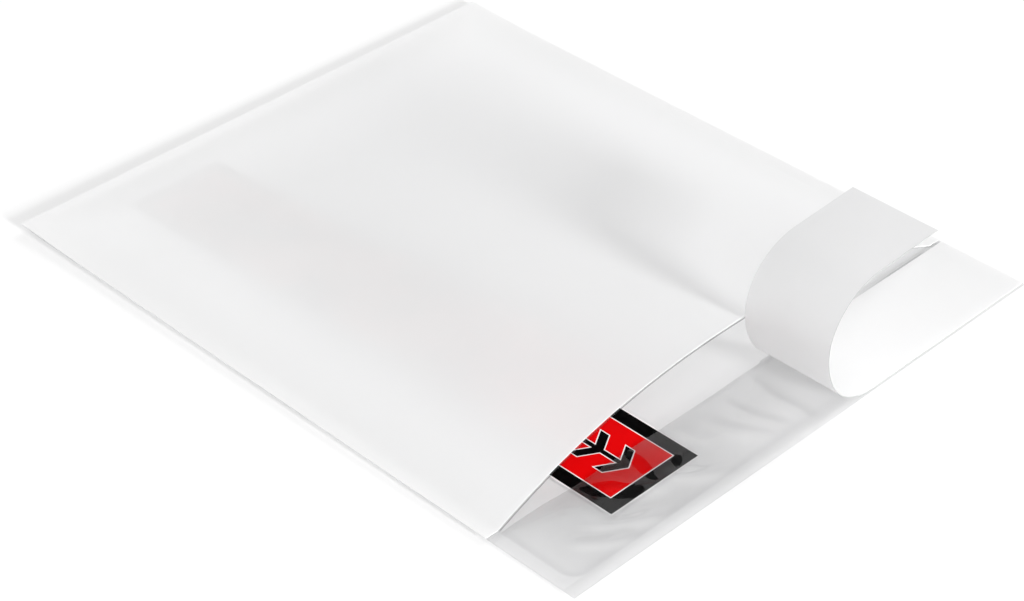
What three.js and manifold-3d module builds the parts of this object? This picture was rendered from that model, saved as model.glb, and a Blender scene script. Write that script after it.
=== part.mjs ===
// A back-loading packing list envelope, lying face down with its adhesive side up.
// Millimetres, +Z up. The origin is the middle of the face film's underside, +Y runs the long way,
// away from the mouth, and +X runs along the mouth towards the end where the short liner is still stuck.
//
// A printed face film and a plain back film are heat-sealed together round their edges. The back film is
// slit across, 18.4 mm from one end, and its long part is bowed up so that the pouch stands open.
// Two pieces of white release liner cover the adhesive on the back film: a long one over the bowed part,
// and a short one over the narrow strip, which has been peeled from one end and curls back over itself.
import * as THREE from "three";
import Module from "manifold-3d";
import { mergeVertices } from "three/addons/utils/BufferGeometryUtils.js";

// The two films
const SHEET_WIDTH = 114.3;
const SHEET_LENGTH = 139.7;
const FACE_FILM_THICK = 0.05;
const BACK_FILM_THICK = 0.05;

// Heat seals along the sides and across the far end
const SIDE_SEAL = 2.6;
const END_SEAL = 2.5;

// The slit in the back film, from side seal to side seal
const STRIP_WIDTH = 18.4;
const SLIT_GAP = 0.3;

// The bowed back: height of the mouth, how full its arch is, and how fast it sinks towards the far seal
const MOUTH_HEIGHT = 11.4;
const ARCH_FULLNESS = 2.25;
const BOW_FADE = 1.15;

// The far end curls up a little where the seal has shrunk
const END_LIFT = 0.5;
const END_LIFT_RUN = 9;

// Release liner
const LINER_THICK = 0.08;
const LINER_SETBACK = 0.4;
const STRIP_SETBACK = 0.5;

// The peeled strip of liner, seen from its long edge as a loop
const STUCK_LENGTH = 42.5;
const LOOP_REACH = 12.4;
const WAIST_HEIGHT = 13.6;
const LOOP_HEIGHT = 24.6;
const TAIL_RUN = 14.2;
const TAIL_RISE = 0.6;
const FOOT_FULLNESS = 0.72;
const WAIST_FULLNESS = 0.42;
const CROWN_FULLNESS = 0.55;

// Print on the inner side of the face film
const PRINT_DEPTH = 0.02;
const BANNER_WIDTH = 20.4;
const BANNER_LENGTH = 121.1;
const BANNER_OFF_CENTRE = 28.95;
const BORDER_WIDTH = 2.7;
const KEYLINE = 0.2;
const CHEVRON_HEIGHT = 7.5;
const CHEVRON_STROKE = 1.8;
const CHEVRON_SWEEP = 2.2;
const CHEVRON_PITCH = 5.6;
const SHAFT_WIDTH = 0.9;
const ARROW_MARGIN = 3.2;

// Fineness of the bowed sheets and of each half of the loop
const COLUMNS = 24;
const ROWS = 14;
const END_ROWS = 3;
const LOOP_STEPS = 13;

const wasm = await Module();
wasm.setup();

const envelope = new THREE.Group();

const halfWidth = SHEET_WIDTH / 2;
const halfLength = SHEET_LENGTH / 2;
const stripLip = -halfLength + STRIP_WIDTH;
const panelLip = stripLip + SLIT_GAP;
const slitEnd = halfWidth - SIDE_SEAL;
const bowEnd = halfLength - END_SEAL;
const liftStart = halfLength - END_LIFT_RUN;
const backFilmTop = FACE_FILM_THICK + BACK_FILM_THICK;

// Colours and finishes
const clearFilm = {
  color: 0xe8ebec,
  roughness: 0.12,
  metalness: 0,
  transparent: true,
  opacity: 0.35,
};
const linerPaper = { color: 0xf3f3f2, roughness: 0.6, metalness: 0 };
const linerUnderside = { color: 0xe9e9e8, roughness: 0.45, metalness: 0 };
const redInk = { color: 0xe30d10, roughness: 0.35, metalness: 0 };
const blackInk = { color: 0x0b0b0b, roughness: 0.35, metalness: 0 };

function addPiece(name, geometry, finish) {
  const mesh = new THREE.Mesh(geometry, new THREE.MeshStandardMaterial(finish));
  mesh.name = name;
  envelope.add(mesh);
  return mesh;
}

function solidOf(geometry) {
  const bare = geometry.clone().deleteAttribute("normal").deleteAttribute("uv");
  const merged = mergeVertices(bare, 1e-4);
  return new wasm.Manifold(
    new wasm.Mesh({
      numProp: 3,
      vertProperties: merged.attributes.position.array,
      triVerts: new Uint32Array(merged.index.array),
    }),
  );
}

function geometryOf(solid) {
  const mesh = solid.getMesh();
  const geometry = new THREE.BufferGeometry();
  geometry.setAttribute(
    "position",
    new THREE.BufferAttribute(new Float32Array(mesh.vertProperties), 3),
  );
  geometry.setIndex(
    new THREE.BufferAttribute(new Uint32Array(mesh.triVerts), 1),
  );
  geometry.computeVertexNormals();
  return geometry;
}

// Height of the whole sheet above the surface it lies on
function endLift(y) {
  return END_LIFT * Math.max(0, (y - liftStart) / END_LIFT_RUN) ** 2;
}

// Height of the bowed back above its flat state. The arch springs from the ends of the slit
// and sinks towards the far seal.
function bowHeight(x, y) {
  const back = (y - panelLip) / (bowEnd - panelLip);
  if (back < 0 || back >= 1) return 0;
  const across = Math.min(Math.abs(x) / slitEnd, 1);
  return MOUTH_HEIGHT * (1 - across ** ARCH_FULLNESS) * (1 - back) ** BOW_FADE;
}

// Even steps from one end of a stretch to the other, both ends included
function steps(from, to, count) {
  return Array.from(
    { length: count + 1 },
    (_, i) => from + ((to - from) * i) / count,
  );
}

// A closed sheet over a grid of columns and rows. Cells that isOpen names are left out, as a hole
// through the sheet. Two sheets that share grid lines lie on each other face to face.
function sheetGeometry(columns, rows, underside, thickness, isOpen) {
  const points = [];
  const index = [];
  const at = (i, j, top) => 2 * (j * columns.length + i) + top;
  for (const y of rows) {
    for (const x of columns) {
      const z = underside(x, y);
      points.push(x, y, z, x, y, z + thickness);
    }
  }
  const quad = (a, b, c, d) => index.push(a, b, c, a, c, d);
  const filled = (i, j) =>
    i >= 0 &&
    j >= 0 &&
    i < columns.length - 1 &&
    j < rows.length - 1 &&
    !isOpen((columns[i] + columns[i + 1]) / 2, (rows[j] + rows[j + 1]) / 2);
  for (let j = 0; j < rows.length - 1; j++) {
    for (let i = 0; i < columns.length - 1; i++) {
      if (!filled(i, j)) continue;
      quad(at(i, j, 1), at(i + 1, j, 1), at(i + 1, j + 1, 1), at(i, j + 1, 1));
      index.push(at(i, j, 0), at(i + 1, j + 1, 0), at(i + 1, j, 0));
      index.push(at(i, j, 0), at(i, j + 1, 0), at(i + 1, j + 1, 0));
      const wall = (i0, j0, i1, j1) =>
        quad(at(i0, j0, 0), at(i1, j1, 0), at(i1, j1, 1), at(i0, j0, 1));
      if (!filled(i, j - 1)) wall(i, j, i + 1, j);
      if (!filled(i + 1, j)) wall(i + 1, j, i + 1, j + 1);
      if (!filled(i, j + 1)) wall(i + 1, j + 1, i, j + 1);
      if (!filled(i - 1, j)) wall(i, j + 1, i, j);
    }
  }
  const geometry = new THREE.BufferGeometry();
  geometry.setAttribute("position", new THREE.Float32BufferAttribute(points, 3));
  geometry.setIndex(index);
  return geometryOf(solidOf(geometry));
}

// Grid lines of the sheets
const columns = [-halfWidth, ...steps(-slitEnd, slitEnd, COLUMNS), halfWidth];
const endRows = [...steps(liftStart, bowEnd, END_ROWS), halfLength];
const panelRows = [
  panelLip + LINER_SETBACK,
  ...steps(panelLip, liftStart, ROWS).slice(1, -1),
  ...endRows,
];

// The back film, in one piece: a flat strip, the slit, and the bowed panel behind it
addPiece(
  "back_film",
  sheetGeometry(
    columns,
    [-halfLength, stripLip, panelLip, ...panelRows],
    (x, y) => FACE_FILM_THICK + endLift(y) + bowHeight(x, y),
    BACK_FILM_THICK,
    (x, y) => y > stripLip && y < panelLip && Math.abs(x) < slitEnd,
  ),
  clearFilm,
);

// The long liner follows the bowed panel and stops just short of the film's lip
addPiece(
  "panel_liner",
  sheetGeometry(
    columns,
    panelRows,
    (x, y) => backFilmTop + endLift(y) + bowHeight(x, y),
    LINER_THICK,
    () => false,
  ),
  linerPaper,
);

// The middle line of the peeled strip, seen along the generators of its loop:
// stuck down flat, up round the loop, and back over itself to its free end
function loopLine() {
  const level = backFilmTop + LINER_THICK / 2;
  const top = level + LOOP_HEIGHT;
  const lift = halfWidth - STUCK_LENGTH;
  const waist = lift - LOOP_REACH;
  const foot = new THREE.Vector2(lift, level);
  const side = new THREE.Vector2(waist, level + WAIST_HEIGHT);
  const crown = new THREE.Vector2(lift, top);
  const lower = new THREE.CubicBezierCurve(
    foot,
    new THREE.Vector2(lift - LOOP_REACH * FOOT_FULLNESS, level),
    new THREE.Vector2(waist, level + WAIST_HEIGHT * (1 - WAIST_FULLNESS)),
    side,
  );
  const upper = new THREE.CubicBezierCurve(
    side,
    new THREE.Vector2(waist, side.y + (top - side.y) * CROWN_FULLNESS),
    new THREE.Vector2(lift - LOOP_REACH * CROWN_FULLNESS, top),
    crown,
  );
  const rounded = [
    ...lower.getPoints(LOOP_STEPS),
    ...upper.getPoints(LOOP_STEPS).slice(1),
  ];
  const stuckEnd = new THREE.Vector2(halfWidth, level);
  const freeEnd = new THREE.Vector2(lift + TAIL_RUN, top + TAIL_RISE);
  return [stuckEnd, ...rounded, freeEnd];
}

// The section of a thin sheet along a line of points, as a closed outline
function sheetSection(line, thickness) {
  const offset = (sign) =>
    line.map((p, i) => {
      const before = line[Math.max(i - 1, 0)];
      const after = line[Math.min(i + 1, line.length - 1)];
      const along = new THREE.Vector2().subVectors(after, before).normalize();
      const half = (sign * thickness) / 2;
      return new THREE.Vector2(p.x - along.y * half, p.y + along.x * half);
    });
  return new THREE.Shape([...offset(1), ...offset(-1).reverse()]);
}

// The short liner reaches the slit but stops just short of the film's outer edge
const stripLiner = addPiece(
  "strip_liner",
  new THREE.ExtrudeGeometry(sheetSection(loopLine(), LINER_THICK), {
    depth: STRIP_WIDTH - STRIP_SETBACK,
    bevelEnabled: false,
  }),
  linerUnderside,
);
stripLiner.rotation.x = Math.PI / 2;
stripLiner.position.y = stripLip;

// The printed banner, as outlines on the face film
function rectangle(width, length) {
  const w = width / 2;
  const l = length / 2;
  return [
    new THREE.Vector2(-w, -l),
    new THREE.Vector2(w, -l),
    new THREE.Vector2(w, l),
    new THREE.Vector2(-w, l),
  ];
}

const fieldWidth = BANNER_WIDTH - 2 * BORDER_WIDTH;
const fieldLength = BANNER_LENGTH - 2 * BORDER_WIDTH;
const arrowLength = fieldLength - 2 * ARROW_MARGIN;

// One outline for the arrow that shows where the list goes in: a row of chevrons on a thin shaft,
// all pointing at the mouth. grow widens it all round, for the keyline that parts it from the field.
function arrowOutline(grow) {
  const shaft = SHAFT_WIDTH / 2 + grow;
  const reach = CHEVRON_HEIGHT / 2 + grow;
  const lean = CHEVRON_SWEEP / (CHEVRON_HEIGHT / 2);
  const margin = grow * Math.hypot(1, lean);
  const count = Math.floor((arrowLength - CHEVRON_STROKE - CHEVRON_SWEEP) / CHEVRON_PITCH);
  const right = [];
  for (let k = 0; k <= count; k++) {
    const tip = -arrowLength / 2 + k * CHEVRON_PITCH;
    const front = tip - margin;
    const rear = tip + CHEVRON_STROKE + margin;
    if (k > 0) right.push(new THREE.Vector2(shaft, front + shaft * lean));
    right.push(new THREE.Vector2(reach, front + reach * lean));
    right.push(new THREE.Vector2(reach, rear + reach * lean));
    right.push(new THREE.Vector2(shaft, rear + shaft * lean));
  }
  const nose = new THREE.Vector2(0, -arrowLength / 2 - margin);
  const tail = new THREE.Vector2(0, right.at(-1).y - shaft * lean);
  const left = right.map((p) => new THREE.Vector2(-p.x, p.y)).reverse();
  return [nose, ...right, tail, ...left];
}

const borderShape = new THREE.Shape(rectangle(BANNER_WIDTH, BANNER_LENGTH));
borderShape.holes.push(new THREE.Path(rectangle(fieldWidth, fieldLength)));

const fieldShape = new THREE.Shape(
  rectangle(fieldWidth - 2 * KEYLINE, fieldLength - 2 * KEYLINE),
);
fieldShape.holes.push(new THREE.Path(arrowOutline(KEYLINE)));

const arrowShape = new THREE.Shape(arrowOutline(0));

// The face film, with the print let into its inner side so that the two films meet flat
const printFloor = FACE_FILM_THICK - PRINT_DEPTH;
const plainFace = sheetGeometry(
  [-halfWidth, halfWidth],
  [-halfLength, ...endRows],
  (x, y) => endLift(y),
  FACE_FILM_THICK,
  () => false,
);
let faceFilm = solidOf(plainFace);
for (const [name, shape, ink] of [
  ["print_border", borderShape, blackInk],
  ["print_field", fieldShape, redInk],
  ["print_arrow", arrowShape, blackInk],
]) {
  const layer = (depth) =>
    new THREE.ExtrudeGeometry(shape, {
      depth,
      bevelEnabled: false,
    }).translate(-BANNER_OFF_CENTRE, 0, printFloor);
  faceFilm = faceFilm.subtract(solidOf(layer(2 * PRINT_DEPTH)));
  addPiece(name, layer(PRINT_DEPTH), ink);
}
addPiece("face_film", geometryOf(faceFilm), clearFilm);

export default envelope;
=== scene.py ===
"""Dresses a packing list envelope: two clear films, their print, and two pieces of white release liner.

The envelope lies face down on a pale floor, with its adhesive side up. Its frame is the CAD model's:
+X along the mouth, +Y towards the sealed far end, +Z up, in metres.
"""

import math

import bmesh
import bpy
from mathutils import Matrix, Vector, noise


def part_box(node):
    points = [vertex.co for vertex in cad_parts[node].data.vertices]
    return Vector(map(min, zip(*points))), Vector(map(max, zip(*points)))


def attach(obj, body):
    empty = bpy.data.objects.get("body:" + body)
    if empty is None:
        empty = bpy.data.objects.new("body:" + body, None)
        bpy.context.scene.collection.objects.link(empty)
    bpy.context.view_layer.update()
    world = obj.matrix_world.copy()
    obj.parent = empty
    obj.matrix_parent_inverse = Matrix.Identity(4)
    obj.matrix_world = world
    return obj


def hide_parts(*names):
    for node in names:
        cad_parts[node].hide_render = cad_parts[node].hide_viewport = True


MM = 0.001

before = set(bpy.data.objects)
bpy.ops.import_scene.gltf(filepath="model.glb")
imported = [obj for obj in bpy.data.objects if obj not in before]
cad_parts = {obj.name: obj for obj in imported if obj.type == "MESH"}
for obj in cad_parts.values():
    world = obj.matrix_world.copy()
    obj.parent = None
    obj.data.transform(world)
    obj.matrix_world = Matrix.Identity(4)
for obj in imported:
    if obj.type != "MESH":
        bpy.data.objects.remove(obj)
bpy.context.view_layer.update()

# The sheet, from the frame
sheet_low, sheet_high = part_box("face_film")
HALF_WIDTH = sheet_high.x
HALF_LENGTH = sheet_high.y
STRIP_NEAR, STRIP_LIP = (corner.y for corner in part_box("strip_liner"))
LINER_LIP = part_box("panel_liner")[0].y
BANNER_LOW, BANNER_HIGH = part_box("print_border")

# Thicknesses and heat seals
FILM = 0.05 * MM
LINER = 0.08 * MM
SIDE_SEAL = 2.6 * MM
END_SEAL = 2.5 * MM
SEAL_RADIUS = 3.2 * MM

# The slit and the bowed back, as in the solids
LINER_SETBACK = 0.4 * MM
PANEL_LIP = LINER_LIP - LINER_SETBACK
MOUTH_HEIGHT = 11.4 * MM
ARCH_FULLNESS = 2.25
BOW_FADE = 1.15
END_LIFT = 0.5 * MM
GENTLE_LIFT_RUN = 26 * MM
SLIT_END = HALF_WIDTH - SIDE_SEAL
BOW_END = HALF_LENGTH - END_SEAL

# The peeled strip's loop, as in the solids
STUCK_LENGTH = 42.5 * MM
LOOP_REACH = 12.4 * MM
WAIST_HEIGHT = 13.6 * MM
LOOP_HEIGHT = 24.6 * MM
TAIL_RUN = 14.2 * MM
TAIL_RISE = 0.6 * MM
FOOT_FULLNESS = 0.72
WAIST_FULLNESS = 0.42
CROWN_FULLNESS = 0.55
LIFT_LINE = HALF_WIDTH - STUCK_LENGTH

# The bared strip of film stands off the face film in low puffs and soft creases
PUFF = 0.5 * MM
PUFF_SCALE = 9 * MM
CREASES = [
    # start, end, height and half width, in millimetres
    ((2.0, -53.4), (1.5, -67.6), 0.30, 1.6),
    ((-5.7, -54.6), (-3.0, -66.0), 0.26, 1.5),
    ((-12.0, -56.0), (-6.0, -66.5), 0.22, 2.0),
    ((-44.3, -59.0), (-33.0, -66.5), 0.20, 1.6),
    ((-49.1, -60.8), (-40.0, -66.5), 0.20, 1.5),
    ((-36.0, -54.5), (-27.0, -62.0), 0.24, 2.0),
    ((-27.0, -60.0), (-18.0, -66.0), 0.20, 1.8),
    ((-16.5, -53.5), (-13.0, -60.5), 0.18, 1.7),
]
# Scale of the painted shade and highlight on the creases.
CREASE_PAINTED_SHADING_SCALE = 0.14 * MM

# The lip of the bared strip sags towards the free side where nothing holds it
SAG = 0.45 * MM
SAG_RUN = 20 * MM
SAG_DEPTH = 3 * MM

# The long liner is a little uneven, and the peeled one flutters a little
RIPPLE = 0.18 * MM
FLUTTER = 0.25 * MM

# Where the bared strip clings to the print below it, the film shows little gloss
CLING = [
    # centre, half length and half width in millimetres, and angle in degrees
    ((-27.3, -56.0), 4.6, 1.2, 75),
    ((-35.2, -56.6), 4.4, 1.9, -52),
    ((-32.6, -59.8), 1.5, 1.0, 0),
    ((-22.6, -59.3), 1.5, 0.9, 35),
]

CLING_LOSS = 0.85
CLING_RAGGED = 330.0

# Clear film: the share of the light that one face lets through, and how much more of the blue. The seal, pouch and
# cloud greys are the film's own; the rest are painted shade or painted light.
SEAL_TINT = 0.985, 0.001
# Painted shade: the film over the near end seal is greyer.
NEAR_SEAL_PAINTED_SHADE = 0.957, 0.001
POUCH_TINT = 0.972, 0.001
# Painted shade: a soft darker line just inside the seals.
SEAM_PAINTED_SHADE = 0.95, 0.002
CLOUD_TINT = 0.96, 0.002
# Painted shade: the films are darker within a fraction of a millimetre of their cut edges.
CUT_EDGE_PAINTED_SHADE = 0.92, 0.003
# Painted shade over the left of the bared strip.
LEFT_STRIP_PAINTED_SHADE = 0.89, 0.002
# Painted light: the bared strip is clearer by the loop, against the loop's shadow.
BY_LOOP_PAINTED_LIGHT = 0.992, 0.001
# Painted shade in a ragged band along the bared strip's edge at the slit.
HEM_PAINTED_SHADE = 0.93, 0.002
# Painted shade: a dark line at both edges of the slit.
LIP_PAINTED_SHADE = 0.7, 0.005
# Painted shade and painted highlight on the two sides of the creases.
CREASE_PAINTED_SHADE = 0.935, 0.002
CREASE_PAINTED_HIGHLIGHT = 1.0, 0.0
# Painted shade in the pocket behind the slit's right end, and in that end of the slit.
POCKET_PAINTED_SHADE = 0.955, 0.002
SLIT_PAINTED_SHADE = 0.84, 0.003
CLOUD_SCALE = 90.0
HEM_SCALE = 110.0
FILM_IOR = 1.5
FILM_GLOSS = 1.35
FILM_ROUGHNESS = 0.06
FILM_RIPPLE_SCALE = 260.0
KEYLINE = 0.9

# Liner paper: its greys, with painted shade at the long liner's edges and painted light over the banner, and the share
# of the light that each face lets through
# Painted shade on the long liner's edges, and the run over which it fades.
PANEL_EDGE_PAINTED_SHADE = 0.908, 0.0
PANEL_WHITE = 0.95, 0.002
PANEL_PAINTED_SHADE_RUN = 14 * MM
PANEL_THROUGH = 0.30
PANEL_ROUGHNESS = 0.6
# Painted light, faintly pink, over the banner: lighter than the plain paper.
BANNER_PAINTED_LIGHT = (0.975, 0.965, 0.965, 1)
BANNER_BLUR = 2.5 * MM
PAPER_SIDE = 0.96, 0.0
RELEASE_SIDE = 0.78, 0.003
# Painted shade on the peeled liner's near edge.
STRIP_CUT_PAINTED_SHADE = 0.5, 0.0
STRIP_THROUGH = 0.42
STRIP_ROUGHNESS = 0.5
MOTTLE = 0.86, -0.005
MOTTLE_SCALE = 420.0
FIBRE_SCALE = 2600.0

# Inks: the even colour and the worn one
BLACK = (0.001, 0.001, 0.001, 1), (0.006, 0.006, 0.006, 1)
RED = (0.75, 0.001, 0.002, 1), (0.62, 0.005, 0.005, 1)
INK_SCALE = 900.0

# Thin sheets touch the floor in a few places only. The gap is the one under the middle, and the fall turns the
# floor about X and Y, so that the near right corner lies lowest and the far left one highest.
FLOOR_GAP = 0.62 * MM
FLOOR_FALL = (-0.0022, -0.0046)

# Light: a low lamp in front, a broad one from the viewer's side, a weaker one from the right, and a soft sky.
# A lamp has its azimuth, elevation and spread in degrees, and its power in watts.
LAMPS = {
    "front_key": (-3, 16, (10, 11), 56),
    "viewer_fill": (-50, 28, (50, 36), 20),
    "right_fill": (100, 28, (30, 24), 18),
}
LAMP_DISTANCE = 2.0

# The sky's level, and how much brighter it is towards +X
SKY_LEVEL = 0.45
SKY_RIGHT = 0.42

# What the film's gloss reflects: a screen from SCREEN_FOOT degrees upwards, and little light below it
SCREEN_LEVEL = 0.8
SCREEN_DARK = 0.12
SCREEN_FOOT = 33
SCREEN_BLUR = 0.03

# The floor's grey, and the light that it adds where it is seen and where it lights the envelope from below
FLOOR_COLOUR = 0.57
FLOOR_SEEN = 0.37
FLOOR_BOUNCE = 0.56

# The camera: the view that gives the photo's four corners
CAMERA_AZIMUTH = math.radians(-44.818)
CAMERA_ELEVATION = math.radians(36.325)
CAMERA_ROLL = math.radians(-0.103)
CAMERA_DISTANCE = 462.0 * MM
SHEET_RIGHT_OF_AXIS = 0.616 * MM
SHEET_ABOVE_AXIS = 8.144 * MM
LENS = 90.71
SENSOR = 36.0
CLIP = 0.01, 20.0


def steps(start, end, count):
    """Even steps from start to end, both included."""
    return [start + (end - start) * i / count for i in range(count + 1)]


def grey(level, cool=0.0):
    """An opaque grey, with a little more blue where it is cool."""
    return (level, level, level + cool, 1)


def smooth(edge0, edge1, value):
    """0 before edge0, 1 after edge1 and a smooth rise between them."""
    t = min(max((value - edge0) / (edge1 - edge0), 0.0), 1.0)
    return t * t * (3 - 2 * t)


def end_lift(y):
    """Height of the upper sheets where the far end curls up, over a longer run than in the solids."""
    along = (y - (HALF_LENGTH - GENTLE_LIFT_RUN)) / GENTLE_LIFT_RUN
    return END_LIFT * max(0.0, along) ** 2


def bow_height(x, y):
    """Height of the bowed back above its flat state."""
    back = (y - PANEL_LIP) / (BOW_END - PANEL_LIP)
    if back < -1e-6 or back >= 1:
        return 0.0
    back = max(back, 0.0)
    across = min(abs(x) / SLIT_END, 1.0)
    return MOUTH_HEIGHT * (1 - across**ARCH_FULLNESS) * (1 - back) ** BOW_FADE


def panel_ripple(x, y):
    """A very low unevenness of the long liner, none at its edges."""
    inside = smooth(0, 12 * MM, HALF_WIDTH - abs(x)) * smooth(0, 14 * MM, HALF_LENGTH - y)
    wave = noise.noise(Vector((x / (34 * MM), y / (46 * MM), 3.1)))
    return RIPPLE * wave * inside


def creases_at(x, y):
    """Height that the creases add to the bared strip of film, and the painted shade and highlight for how far they
    turn it from the light there.
    """
    height, shade = 0.0, 0.0
    for start, end, crest, half_width in CREASES:
        a, b = Vector(start) * MM, Vector(end) * MM
        run = b - a
        p = Vector((x, y)) - a
        along = p.dot(run) / run.length_squared
        bend = math.sin(along * math.pi) * 0.9 * MM
        across = ((p.x * run.y - p.y * run.x) / run.length - bend) / (half_width * MM)
        taper = smooth(-0.15, 0.25, along) * smooth(1.15, 0.75, along)
        ridge = crest * MM * taper * math.exp(-(across**2))
        height += ridge
        shade -= ridge * across
    return height, shade / CREASE_PAINTED_SHADING_SCALE


def strip_height(x, y):
    """Height of the bared strip of film above the face film."""
    seal = smooth(0, 3.5 * MM, HALF_WIDTH - SIDE_SEAL - abs(x))
    seal *= smooth(0, 3.0 * MM, y + HALF_LENGTH - END_SEAL)
    liner = smooth(0, 7 * MM, LIFT_LINE - 2 * MM - x)
    wave = noise.noise(Vector((x / PUFF_SCALE, y / (PUFF_SCALE * 0.8), 0.7)))
    puff = PUFF * (0.55 + 0.75 * wave)
    return max(seal * liner * (puff + creases_at(x, y)[0]), 0.0)


def mesh_object(name, bm, sharp_angle=40):
    """Links a finished bmesh as an object, smooth except over sharp edges."""
    bmesh.ops.recalc_face_normals(bm, faces=bm.faces)
    for face in bm.faces:
        face.smooth = True
    mesh = bpy.data.meshes.new(name)
    bm.to_mesh(mesh)
    bm.free()
    mesh.set_sharp_from_angle(angle=math.radians(sharp_angle))
    obj = bpy.data.objects.new(name, mesh)
    bpy.context.scene.collection.objects.link(obj)
    return obj


def sheet(name, xs, ys, underside, thickness, is_open=None, place=None):
    """A closed thin sheet over a grid, with a hole where is_open says so."""
    bm = bmesh.new()
    verts = {}
    for i, x in enumerate(xs):
        for j, y in enumerate(ys):
            px, py = place(x, y) if place else (x, y)
            z = underside(x, y)
            verts[i, j, 0] = bm.verts.new((px, py, z))
            verts[i, j, 1] = bm.verts.new((px, py, z + thickness))
    cells = set()
    for i in range(len(xs) - 1):
        for j in range(len(ys) - 1):
            middle = (xs[i] + xs[i + 1]) / 2, (ys[j] + ys[j + 1]) / 2
            if not (is_open and is_open(*middle)):
                cells.add((i, j))
    for i, j in sorted(cells):
        corners = [(i, j), (i + 1, j), (i + 1, j + 1), (i, j + 1)]
        bm.faces.new([verts[i, j, 1] for i, j in corners])
        bm.faces.new([verts[i, j, 0] for i, j in reversed(corners)])
        beyond = [(i, j - 1), (i + 1, j), (i, j + 1), (i - 1, j)]
        for k, neighbour in enumerate(beyond):
            if neighbour not in cells:
                a, b = corners[k], corners[(k + 1) % 4]
                bm.faces.new([verts[(*a, 0)], verts[(*b, 0)], verts[(*b, 1)], verts[(*a, 1)]])
    bmesh.ops.delete(bm, geom=[v for v in bm.verts if not v.link_faces], context="VERTS")
    return mesh_object(name, bm)


def bezier(p0, p1, p2, p3, count):
    """Points of a cubic curve, both ends included."""
    points = []
    for t in steps(0, 1, count):
        s = 1 - t
        points.append(p0 * s**3 + p1 * 3 * s * s * t + p2 * 3 * s * t * t + p3 * t**3)
    return points


def loop_line():
    """Middle line of the peeled strip in X and Z, from its stuck end to its free end."""
    level = 2 * FILM + LINER / 2
    top = level + LOOP_HEIGHT
    waist = LIFT_LINE - LOOP_REACH
    foot = Vector((LIFT_LINE, level))
    side = Vector((waist, level + WAIST_HEIGHT))
    crown = Vector((LIFT_LINE, top))
    lower = bezier(
        foot,
        Vector((LIFT_LINE - LOOP_REACH * FOOT_FULLNESS, level)),
        Vector((waist, level + WAIST_HEIGHT * (1 - WAIST_FULLNESS))),
        side,
        40,
    )
    upper = bezier(
        side,
        Vector((waist, side.y + (top - side.y) * CROWN_FULLNESS)),
        Vector((LIFT_LINE - LOOP_REACH * CROWN_FULLNESS, top)),
        crown,
        40,
    )
    stuck_end = Vector((HALF_WIDTH, level))
    free_end = Vector((LIFT_LINE + TAIL_RUN, top + TAIL_RISE))
    stuck = [stuck_end.lerp(foot, t) for t in steps(0, 1, 28)]
    tail = [crown.lerp(free_end, t) for t in steps(0, 1, 14)]
    return stuck[:-1] + lower + upper[1:] + tail[1:]


def ribbon(name, line, ys, thickness, flutter):
    """A closed strip of sheet that follows a line in X and Z and runs across ys."""
    bm = bmesh.new()
    release = bm.verts.layers.float.new("release_side")
    verts = {}
    for i, p in enumerate(line):
        before, after = line[max(i - 1, 0)], line[min(i + 1, len(line) - 1)]
        along = (after - before).normalized()
        out = Vector((-along.y, along.x))
        for j, y in enumerate(ys):
            for side, sign in ((0, -1), (1, 1)):
                q = p + out * (sign * thickness / 2 + flutter(i / (len(line) - 1), y))
                v = bm.verts.new((q.x, y, q.y))
                v[release] = side
                verts[i, j, side] = v
    last_i, last_j = len(line) - 1, len(ys) - 1
    for i in range(last_i):
        for j in range(last_j):
            for side in (0, 1):
                bm.faces.new([verts[a, b, side] for a, b in ((i, j), (i + 1, j), (i + 1, j + 1), (i, j + 1))])
    for i in range(last_i):
        for j in (0, last_j):
            bm.faces.new([verts[i, j, 0], verts[i + 1, j, 0], verts[i + 1, j, 1], verts[i, j, 1]])
    for j in range(last_j):
        for i in (0, last_i):
            bm.faces.new([verts[i, j, 0], verts[i, j + 1, 0], verts[i, j + 1, 1], verts[i, j, 1]])
    return mesh_object(name, bm)


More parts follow.
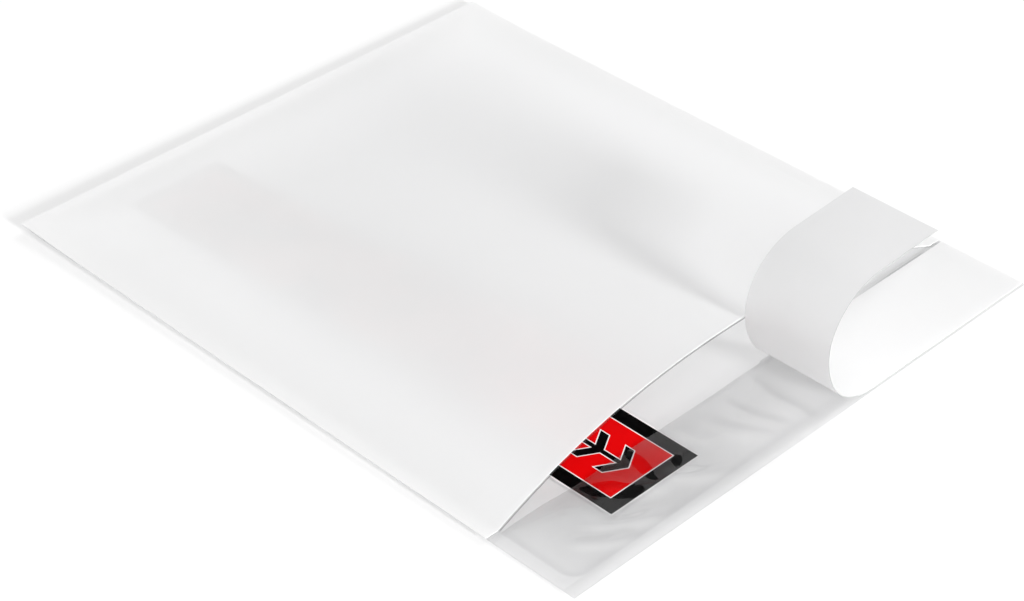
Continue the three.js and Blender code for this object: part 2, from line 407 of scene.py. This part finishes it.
class Nodes:
    """A node tree, with short calls for what the materials and the world share."""

    def __init__(self, tree, output):
        self.tree = tree
        self.tree.nodes.clear()
        self.output = self.tree.nodes.new(output)

    @classmethod
    def material(cls, name):
        """The empty node tree of a new material."""
        made = bpy.data.materials.new(name)
        made.use_nodes = True
        nodes = cls(made.node_tree, "ShaderNodeOutputMaterial")
        nodes.owner = made
        return nodes

    def node(self, kind, **values):
        made = self.tree.nodes.new(kind)
        for key, value in values.items():
            setattr(made, key, value)
        return made

    def link(self, source, target):
        self.tree.links.new(source, target)

    def put(self, value, socket):
        """Sets a socket to a number or colour, or links it to another socket."""
        if isinstance(value, bpy.types.NodeSocket):
            self.link(value, socket)
        else:
            socket.default_value = value

    def math(self, operation, a, b=None, c=None):
        made = self.node("ShaderNodeMath", operation=operation)
        for value, socket in zip((a, b, c), made.inputs):
            if value is not None:
                self.put(value, socket)
        return made.outputs[0]

    def product(self, first, *others):
        """All the values multiplied."""
        for other in others:
            first = self.math("MULTIPLY", first, other)
        return first

    def rise(self, value, low, high):
        """Smooth step from 0 at low to 1 at high."""
        made = self.node("ShaderNodeMapRange", interpolation_type="SMOOTHSTEP")
        self.put(value, made.inputs["Value"])
        made.inputs["From Min"].default_value = low
        made.inputs["From Max"].default_value = high
        return made.outputs["Result"]

    def mix_colour(self, factor, a, b):
        made = self.node("ShaderNodeMix", data_type="RGBA")
        self.put(factor, made.inputs["Factor"])
        self.put(a, made.inputs["A"])
        self.put(b, made.inputs["B"])
        return made.outputs["Result"]

    def tinted(self, colour, layers):
        """The colour under layers, each with its mask, strength and grey."""
        for mask, strength, tint in layers:
            colour = self.mix_colour(self.math("MULTIPLY", mask, strength), colour, grey(*tint))
        return colour

    def mix_shader(self, share, a, b):
        """Shader a, with shader b in its place by the share."""
        made = self.node("ShaderNodeMixShader")
        for value, socket in zip((share, a, b), made.inputs):
            self.put(value, socket)
        return made.outputs[0]

    def place(self):
        """The place on the object, in metres, as a vector and its X, Y and Z."""
        coordinates = self.node("ShaderNodeTexCoord").outputs["Object"]
        parts = self.node("ShaderNodeSeparateXYZ")
        self.link(coordinates, parts.inputs[0])
        return coordinates, parts.outputs["X"], parts.outputs["Y"], parts.outputs["Z"]

    def noise(self, vector, scale, detail=3.0):
        made = self.node("ShaderNodeTexNoise")
        self.link(vector, made.inputs["Vector"])
        made.inputs["Scale"].default_value = scale
        made.inputs["Detail"].default_value = detail
        return made.outputs["Fac"]

    def bump(self, height, strength, distance):
        made = self.node("ShaderNodeBump")
        self.link(height, made.inputs["Height"])
        made.inputs["Strength"].default_value = strength
        made.inputs["Distance"].default_value = distance
        return made.outputs["Normal"]

    def edge_distance(self, x, y):
        """Distance to the nearest edge of the whole sheet."""
        across = self.math("SUBTRACT", HALF_WIDTH, self.math("ABSOLUTE", x))
        along = self.math("SUBTRACT", HALF_LENGTH, self.math("ABSOLUTE", y))
        return self.math("MINIMUM", across, along)

    def seal_distance(self, x, y):
        """Distance inwards from the inner edge of the heat seals, which turns the corners in an arc."""
        squares = []
        for value, inner in ((x, HALF_WIDTH - SIDE_SEAL), (y, HALF_LENGTH - END_SEAL)):
            short = self.math("SUBTRACT", self.math("ABSOLUTE", value), inner - SEAL_RADIUS)
            short = self.math("MAXIMUM", short, 0.0)
            squares.append(self.math("MULTIPLY", short, short))
        return self.math("SUBTRACT", SEAL_RADIUS, self.math("SQRT", self.math("ADD", *squares)))

    def finish(self, surface):
        self.link(surface, self.output.inputs["Surface"])
        return getattr(self, "owner", None)


def cling_patches(n, where):
    """1 in the patches where the bared strip clings to the sheet below it."""
    ragged = n.product(n.math("SUBTRACT", n.noise(where, CLING_RAGGED, 2.0), 0.5), 0.9)
    nearest = 9.0
    for centre, half_length, half_width, angle in CLING:
        patch = n.node("ShaderNodeMapping", vector_type="TEXTURE")
        n.link(where, patch.inputs["Vector"])
        patch.inputs["Location"].default_value = (centre[0] * MM, centre[1] * MM, 0)
        patch.inputs["Rotation"].default_value = (0, 0, math.radians(angle))
        patch.inputs["Scale"].default_value = (half_length * MM, half_width * MM, 1)
        away = n.node("ShaderNodeVectorMath", operation="LENGTH")
        n.link(patch.outputs[0], away.inputs[0])
        nearest = n.math("MINIMUM", nearest, away.outputs["Value"])
    return n.rise(n.math("ADD", nearest, ragged), 1.04, 0.98)


def keyline(n, x, y, z):
    """1 on the thin white line round the printed banner and between its inks, on the inner side only."""
    middle, half = (BANNER_LOW + BANNER_HIGH) / 2, (BANNER_HIGH - BANNER_LOW) / 2
    across = n.math("SUBTRACT", n.math("ABSOLUTE", n.math("SUBTRACT", x, middle.x)), half.x)
    along = n.math("SUBTRACT", n.math("ABSOLUTE", n.math("SUBTRACT", y, middle.y)), half.y)
    outline = n.rise(n.math("MAXIMUM", across, along), 0.32 * MM, 0.26 * MM)
    return n.product(outline, n.rise(z, FILM - 0.006 * MM, FILM - 0.002 * MM))


def shared_layers(n, where, x, y):
    """Tints of both films: painted shade over the near seal, the pouch inside the seals, a soft line of painted shade
    along them, clouds, and painted shade at the cut edges.
    """
    inner = n.seal_distance(x, y)
    # Painted shade over the near end seal.
    near_seal_painted_shade = n.rise(y, END_SEAL + 0.3 * MM - HALF_LENGTH, END_SEAL - 0.3 * MM - HALF_LENGTH)
    # Painted shade along the inner edge of the seals.
    seam_painted_shade = n.product(n.rise(inner, -0.3 * MM, 0.3 * MM), n.rise(inner, 1.8 * MM, 0.3 * MM))
    return [
        (near_seal_painted_shade, 1.0, NEAR_SEAL_PAINTED_SHADE),
        (n.rise(inner, -0.4 * MM, 0.3 * MM), 1.0, POUCH_TINT),
        (seam_painted_shade, 0.7, SEAM_PAINTED_SHADE),
        (n.noise(where, CLOUD_SCALE, 2.0), 0.2, CLOUD_TINT),
        # Painted shade at the cut edges.
        (n.rise(n.edge_distance(x, y), 0.22 * MM, 0.0), 0.7, CUT_EDGE_PAINTED_SHADE),
    ]


def back_layers(n, where, x, y):
    """Tints of the back film, all painted: shade on the left of the bared strip, light by the loop, shade along the
    strip's edge at the slit, a dark line at the slit's edges, and shade and highlight on the two sides of the creases.
    """
    # Painted shade over the left of the bared strip.
    left_painted_shade = n.product(
        n.rise(x, 0.0, -34 * MM),
        n.rise(x, -57 * MM, -40 * MM),
        n.rise(n.seal_distance(x, y), -0.4 * MM, 0.3 * MM),
    )
    # Painted shade in a ragged band along the bared strip's edge at the slit.
    hem_painted_shade = n.product(
        n.rise(y, STRIP_LIP - 1.7 * MM, STRIP_LIP - 0.5 * MM),
        n.rise(y, PANEL_LIP, STRIP_LIP),
        n.rise(n.noise(where, HEM_SCALE, 2.0), 0.25, 0.6),
    )
    # Painted shade: a dark line at both edges of the slit.
    from_lip = n.math("ABSOLUTE", n.math("SUBTRACT", y, PANEL_LIP))
    lip_painted_shade = n.product(
        n.rise(from_lip, 0.2 * MM, 0.08 * MM),
        n.rise(n.edge_distance(x, y), SIDE_SEAL, SIDE_SEAL + 0.4 * MM),
    )
    # Painted shade and highlight on the two sides of the creases.
    crease_painted_shading = n.node("ShaderNodeAttribute", attribute_name="crease_painted_shading").outputs["Fac"]
    return [
        (left_painted_shade, 0.7, LEFT_STRIP_PAINTED_SHADE),
        # Painted light on the bared strip by the loop.
        (n.rise(x, -20 * MM, -2 * MM), 1.0, BY_LOOP_PAINTED_LIGHT),
        (hem_painted_shade, 0.9, HEM_PAINTED_SHADE),
        (lip_painted_shade, 1.0, LIP_PAINTED_SHADE),
        (crease_painted_shading, 1.0, CREASE_PAINTED_SHADE),
        (crease_painted_shading, -1.0, CREASE_PAINTED_HIGHLIGHT),
    ]


def face_layers(n, x, y):
    """Tints of the face film: painted shade in the right end of the slit, and in the pocket behind it."""
    right = n.product(n.rise(x, 34 * MM, 47 * MM), n.rise(y, STRIP_LIP - 0.1 * MM, STRIP_LIP + 0.1 * MM))
    # Painted shade in the pocket behind the slit's right end, and in that end of the slit.
    pocket = n.product(right, n.rise(y, STRIP_LIP + 14 * MM, STRIP_LIP + 6 * MM))
    slit = n.product(right, n.rise(y, STRIP_LIP + 0.55 * MM, STRIP_LIP + 0.35 * MM), n.rise(x, 54 * MM, 50 * MM))
    return [(pocket, 1.0, POCKET_PAINTED_SHADE), (slit, 1.0, SLIT_PAINTED_SHADE)]


def film_material(name, printed):
    """Clear polyethylene: a tinted see-through sheet with a gloss, and painted shade and painted light in fixed
    places. The printed one has a white line at its inks.
    """
    n = Nodes.material(name)
    where, x, y, z = n.place()
    layers = shared_layers(n, where, x, y)
    layers += face_layers(n, x, y) if printed else back_layers(n, where, x, y)
    sheer = n.node("ShaderNodeBsdfTransparent")
    n.link(n.tinted(grey(*SEAL_TINT), layers), sheer.inputs["Color"])
    surface = sheer.outputs[0]
    gloss = n.node("ShaderNodeBsdfGlossy")
    gloss.inputs["Color"].default_value = grey(1.0)
    gloss.inputs["Roughness"].default_value = FILM_ROUGHNESS
    n.link(n.bump(n.noise(where, FILM_RIPPLE_SCALE, 2.0), 0.12, 0.3 * MM), gloss.inputs["Normal"])
    fresnel = n.node("ShaderNodeFresnel")
    fresnel.inputs["IOR"].default_value = FILM_IOR
    front = n.math("SUBTRACT", 1.0, n.node("ShaderNodeNewGeometry").outputs["Backfacing"])
    share = n.product(fresnel.outputs[0], FILM_GLOSS, front)
    if printed:
        white = n.node("ShaderNodeBsdfDiffuse")
        white.inputs["Color"].default_value = grey(KEYLINE)
        surface = n.mix_shader(keyline(n, x, y, z), surface, white.outputs[0])
    else:
        share = n.product(share, n.math("SUBTRACT", 1.0, n.product(cling_patches(n, where), CLING_LOSS)))
    return n.finish(n.mix_shader(share, surface, gloss.outputs[0]))


def paper_surface(n, where, colour, roughness, share_through):
    """Smooth white paper: a faint mottle, a fine fibre, and some light that comes through."""
    shaded = n.tinted(colour, [(n.noise(where, MOTTLE_SCALE, 5.0), 0.03, MOTTLE)])
    surface = n.node("ShaderNodeBsdfPrincipled")
    n.link(shaded, surface.inputs["Base Color"])
    surface.inputs["Roughness"].default_value = roughness
    surface.inputs["Specular IOR Level"].default_value = 0.3
    n.link(n.bump(n.noise(where, FIBRE_SCALE, 4.0), 0.08, 0.05 * MM), surface.inputs["Normal"])
    through = n.node("ShaderNodeBsdfTranslucent")
    n.link(shaded, through.inputs["Color"])
    return n.mix_shader(share_through, surface.outputs[0], through.outputs[0])


def panel_material():
    """The long liner: white paper, with painted shade over its edges and painted light, faintly pink, over the banner.
    """
    n = Nodes.material("panel_liner")
    where, x, y, _ = n.place()
    # Painted shade towards the edges.
    colour = n.mix_colour(n.rise(n.edge_distance(x, y), 0, PANEL_PAINTED_SHADE_RUN), grey(*PANEL_EDGE_PAINTED_SHADE), grey(*PANEL_WHITE))
    # Painted light, faintly pink, over the banner.
    banner = n.product(
        n.rise(x, BANNER_LOW.x - BANNER_BLUR, BANNER_LOW.x + BANNER_BLUR),
        n.rise(x, BANNER_HIGH.x + BANNER_BLUR, BANNER_HIGH.x - BANNER_BLUR),
        n.rise(y, BANNER_HIGH.y + BANNER_BLUR, BANNER_HIGH.y - BANNER_BLUR),
        n.rise(n.noise(where, 70.0, 2.0), 0.3, 0.7),
    )
    colour = n.mix_colour(n.product(banner, 0.8), colour, BANNER_PAINTED_LIGHT)
    return n.finish(paper_surface(n, where, colour, PANEL_ROUGHNESS, PANEL_THROUGH))


def strip_liner_material():
    """The short liner: white paper on one side, a greyer coated side, and painted shade on its near edge where it is
    peeled.
    """
    n = Nodes.material("strip_liner")
    where, _, y, z = n.place()
    release = n.node("ShaderNodeAttribute", attribute_name="release_side").outputs["Fac"]
    colour = n.mix_colour(n.rise(release, 0.3, 0.7), grey(*PAPER_SIDE), grey(*RELEASE_SIDE))
    # Painted shade on the near edge where the liner is peeled.
    cut = n.product(n.rise(y, STRIP_NEAR + 0.06 * MM, STRIP_NEAR + 0.02 * MM), n.rise(z, 0.1 * MM, 0.8 * MM))
    colour = n.mix_colour(cut, colour, grey(*STRIP_CUT_PAINTED_SHADE))
    return n.finish(paper_surface(n, where, colour, STRIP_ROUGHNESS, STRIP_THROUGH))


def ink_material(name, colour, worn):
    """A solid ink field: even colour with a faint unevenness of the print."""
    n = Nodes.material(name)
    uneven = n.product(n.noise(n.place()[0], INK_SCALE, 3.0), 0.12)
    surface = n.node("ShaderNodeBsdfPrincipled")
    n.link(n.mix_colour(uneven, colour, worn), surface.inputs["Base Color"])
    surface.inputs["Roughness"].default_value = 0.5
    surface.inputs["Specular IOR Level"].default_value = 0.02
    return n.finish(surface.outputs[0])


def dress_films():
    """Replaces the back film by a finer one with puffs and creases, and dresses the face film as it is."""
    xs_strip = [-HALF_WIDTH, *steps(-SLIT_END, SLIT_END, 220), HALF_WIDTH]
    ys_strip = steps(-HALF_LENGTH, STRIP_LIP, 40)
    ys_panel = steps(PANEL_LIP, HALF_LENGTH, 100)

    def underside(x, y):
        if y <= STRIP_LIP + 1e-9:
            return FILM + strip_height(x, y)
        return FILM + end_lift(y) + bow_height(x, y) + (panel_ripple(x, y) if y > PANEL_LIP else 0)

    def place(x, y):
        if y > STRIP_LIP + 1e-9 or x >= LIFT_LINE - 8 * MM:
            return x, y
        return x, y - SAG * smooth(0, SAG_RUN, SLIT_END - abs(x)) * smooth(SAG_DEPTH, 0, abs(y - STRIP_LIP))

    def in_slit(x, y):
        return STRIP_LIP < y < PANEL_LIP and abs(x) < SLIT_END

    back = sheet("back_film_skin", xs_strip, ys_strip + ys_panel, underside, FILM, in_slit, place)
    # Painted shade and highlight for the creases, kept on the film's points.
    crease_painted_shading = back.data.attributes.new("crease_painted_shading", "FLOAT", "POINT")
    for vertex, shade in zip(back.data.vertices, crease_painted_shading.data):
        x, y, _ = vertex.co
        shade.value = creases_at(x, y)[1] if y < STRIP_LIP - 0.5 * MM else 0.0
    back.data.materials.append(film_material("clear_film", False))
    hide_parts("back_film")
    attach(back, "root")
    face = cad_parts["face_film"]
    face.data.materials.clear()
    face.data.materials.append(film_material("printed_film", True))


def dress_liners():
    """Replaces the plain liners by finer ones."""
    xs = [-HALF_WIDTH, *steps(-SLIT_END, SLIT_END, 120), HALF_WIDTH]
    ys = steps(LINER_LIP, HALF_LENGTH, 120)
    panel = sheet(
        "panel_liner_skin",
        xs,
        ys,
        lambda x, y: 2 * FILM + end_lift(y) + bow_height(x, y) + panel_ripple(x, y),
        LINER,
    )
    panel.data.materials.append(panel_material())
    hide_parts("panel_liner")
    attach(panel, "root")

    def flutter(along, y):
        free = smooth(0.5, 1.0, along)
        wave = noise.noise(Vector((along * 3.0, y / (16 * MM), 5.2)))
        return FLUTTER * free * wave

    strip = ribbon("strip_liner_skin", loop_line(), steps(STRIP_NEAR, STRIP_LIP, 24), LINER, flutter)
    strip.data.materials.append(strip_liner_material())
    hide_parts("strip_liner")
    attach(strip, "root")


def dress_print():
    """Gives the ink fields their finish."""
    black = ink_material("black_print", *BLACK)
    red = ink_material("red_print", *RED)
    for node, material in (("print_border", black), ("print_arrow", black), ("print_field", red)):
        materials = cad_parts[node].data.materials
        materials.clear()
        materials.append(material)


def make_floor():
    """A plain pale floor that keeps soft shadows and is seen as white. It also glows a little, lighting the envelope
    from below.
    """
    bm = bmesh.new()
    bmesh.ops.create_grid(bm, x_segments=2, y_segments=2, size=3.0)
    floor = mesh_object("floor", bm)
    floor.location.z = -FLOOR_GAP
    floor.rotation_euler = (*FLOOR_FALL, 0)
    n = Nodes.material("floor")
    diffuse = n.node("ShaderNodeBsdfDiffuse")
    diffuse.inputs["Color"].default_value = grey(FLOOR_COLOUR)
    lift = n.node("ShaderNodeEmission")
    seen = n.node("ShaderNodeLightPath").outputs["Is Camera Ray"]
    level = n.math("SUBTRACT", FLOOR_BOUNCE, n.product(seen, FLOOR_BOUNCE - FLOOR_SEEN))
    n.link(level, lift.inputs["Strength"])
    both = n.node("ShaderNodeAddShader")
    n.link(diffuse.outputs[0], both.inputs[0])
    n.link(lift.outputs[0], both.inputs[1])
    floor.data.materials.append(n.finish(both.outputs[0]))


def direction(azimuth, elevation):
    """Unit vector towards an azimuth and elevation in radians. Azimuth 0 is the mouth's side, 90 degrees is +X."""
    flat = math.cos(elevation)
    return Vector((math.sin(azimuth) * flat, -math.cos(azimuth) * flat, math.sin(elevation)))


def area_light(name, azimuth, elevation, spread, power):
    """A soft lamp that faces the envelope. Its spread is its width and height as seen from there, in degrees."""
    data = bpy.data.lights.new(name, "AREA")
    data.shape = "RECTANGLE"
    data.size, data.size_y = (2 * LAMP_DISTANCE * math.tan(math.radians(s) / 2) for s in spread)
    data.energy = power
    lamp = bpy.data.objects.new(name, data)
    bpy.context.scene.collection.objects.link(lamp)
    towards = direction(math.radians(azimuth), math.radians(elevation))
    lamp.location = towards * LAMP_DISTANCE
    lamp.rotation_mode = "QUATERNION"
    lamp.rotation_quaternion = towards.to_track_quat("Z", "Y")
    lamp.visible_glossy = False


def make_world():
    """A pale sky, brighter to the right. Glosses see a screen instead that ends well above the floor."""
    world = bpy.data.worlds.new("studio")
    bpy.context.scene.world = world
    world.use_nodes = True
    n = Nodes(world.node_tree, "ShaderNodeOutputWorld")
    towards = n.node("ShaderNodeTexCoord").outputs["Generated"]
    parts = n.node("ShaderNodeSeparateXYZ")
    n.link(towards, parts.inputs[0])
    right = n.product(n.math("MAXIMUM", parts.outputs["X"], 0.0), SKY_RIGHT)
    level = n.math("ADD", SKY_LEVEL, right)
    foot = math.sin(math.radians(SCREEN_FOOT))
    screen = n.rise(parts.outputs["Z"], foot - SCREEN_BLUR, foot + SCREEN_BLUR)
    seen = n.product(n.math("ADD", SCREEN_DARK, n.product(screen, 1 - SCREEN_DARK)), SCREEN_LEVEL)
    glossy = n.node("ShaderNodeLightPath").outputs["Is Glossy Ray"]
    strength = n.node("ShaderNodeMix", data_type="FLOAT")
    n.link(glossy, strength.inputs["Factor"])
    n.link(level, strength.inputs["A"])
    n.link(seen, strength.inputs["B"])
    sky = n.node("ShaderNodeBackground")
    n.link(strength.outputs["Result"], sky.inputs["Strength"])
    n.finish(sky.outputs[0])


def make_camera():
    """The photo's view of the envelope."""
    data = bpy.data.cameras.new("camera")
    data.sensor_width = SENSOR
    data.lens = LENS
    camera = bpy.data.objects.new("camera", data)
    bpy.context.scene.collection.objects.link(camera)
    back = direction(CAMERA_AZIMUTH, CAMERA_ELEVATION)
    right = (-back).cross(Vector((0, 0, 1))).normalized()
    up = right.cross(-back)
    c, s = math.cos(CAMERA_ROLL), math.sin(CAMERA_ROLL)
    right, up = right * c + up * s, up * c - right * s
    place = back * CAMERA_DISTANCE - right * SHEET_RIGHT_OF_AXIS - up * SHEET_ABOVE_AXIS
    turned = Matrix((right, up, back)).transposed().to_4x4()
    camera.matrix_world = Matrix.Translation(place) @ turned
    data.clip_start, data.clip_end = CLIP
    bpy.context.scene.camera = camera


dress_films()
dress_liners()
dress_print()
make_floor()
make_world()
for lamp, settings in LAMPS.items():
    area_light(lamp, *settings)
make_camera()

bpy.context.scene.view_settings.view_transform = "Standard"
